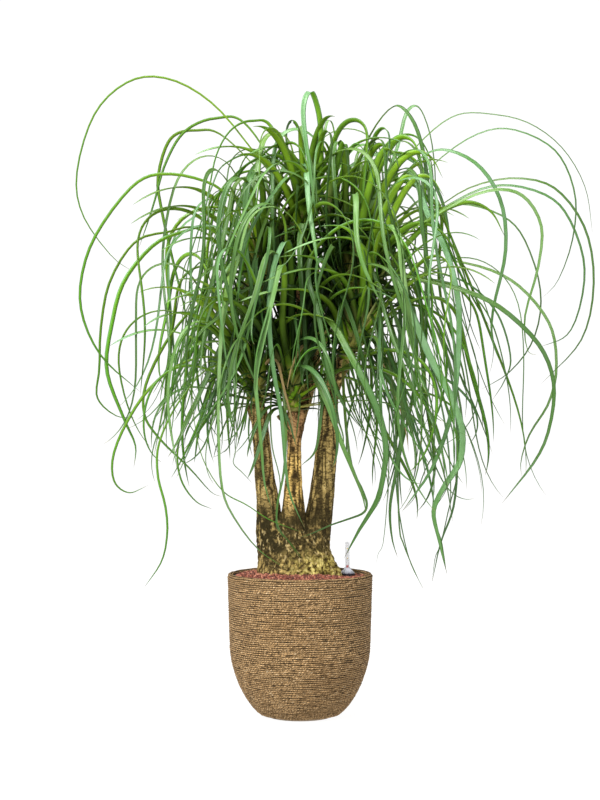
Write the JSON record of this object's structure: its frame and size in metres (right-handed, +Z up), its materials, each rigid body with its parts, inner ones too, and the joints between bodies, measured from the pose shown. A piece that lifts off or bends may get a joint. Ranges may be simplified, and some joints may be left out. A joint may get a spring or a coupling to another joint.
{
  "type": "potted ponytail palm",
  "caption": "Ponytail palm with a swollen forked trunk and arching strap leaves, in a rope-wound planter with granules and a water gauge.",
  "frame": {"origin": "centre of the planter's flat base, on the floor", "axes": "+Z up along the plant's height; the side seen in the picture faces -Y"},
  "size_m": [1.1332, 0.8013, 1.3958],
  "materials": {
    "shell": "matte moulded resin",
    "rope": "dry twisted seagrass rope",
    "liner": "thin dark plastic",
    "soil": "moist growing medium with fine roots",
    "granules": "porous fired clay granules",
    "bark": "furrowed corky bark",
    "leaf": "smooth leaf with fine lengthwise veins",
    "gauge_white": "satin",
    "gauge_grey": "smooth",
    "gauge_clear": "clear",
    "gauge_red": "smooth"
  },
  "bodies": {
    "plant": {"planter_shell": "shell", "rope_wrap": "rope", "liner": "liner", "root_ball": "soil", "granules": "granules", "trunk": "bark", "crown_front": "leaf", "crown_left": "leaf", "crown_left_rear": "leaf", "crown_top": "leaf", "crown_right_high": "leaf", "crown_right_low": "leaf", "crown_rear": "leaf", "gauge_guide": "gauge_white", "gauge_collar": "gauge_grey", "gauge_sight": "gauge_clear"},
    "float": {"gauge_float": "gauge_white", "gauge_tip": "gauge_red"}
  },
  "joints": [
    {"name": "float_slide", "type": "slide", "parent": "plant", "child": "float", "axis": [0, 0, 1], "range_m": [0, 0.042]}
  ]
}
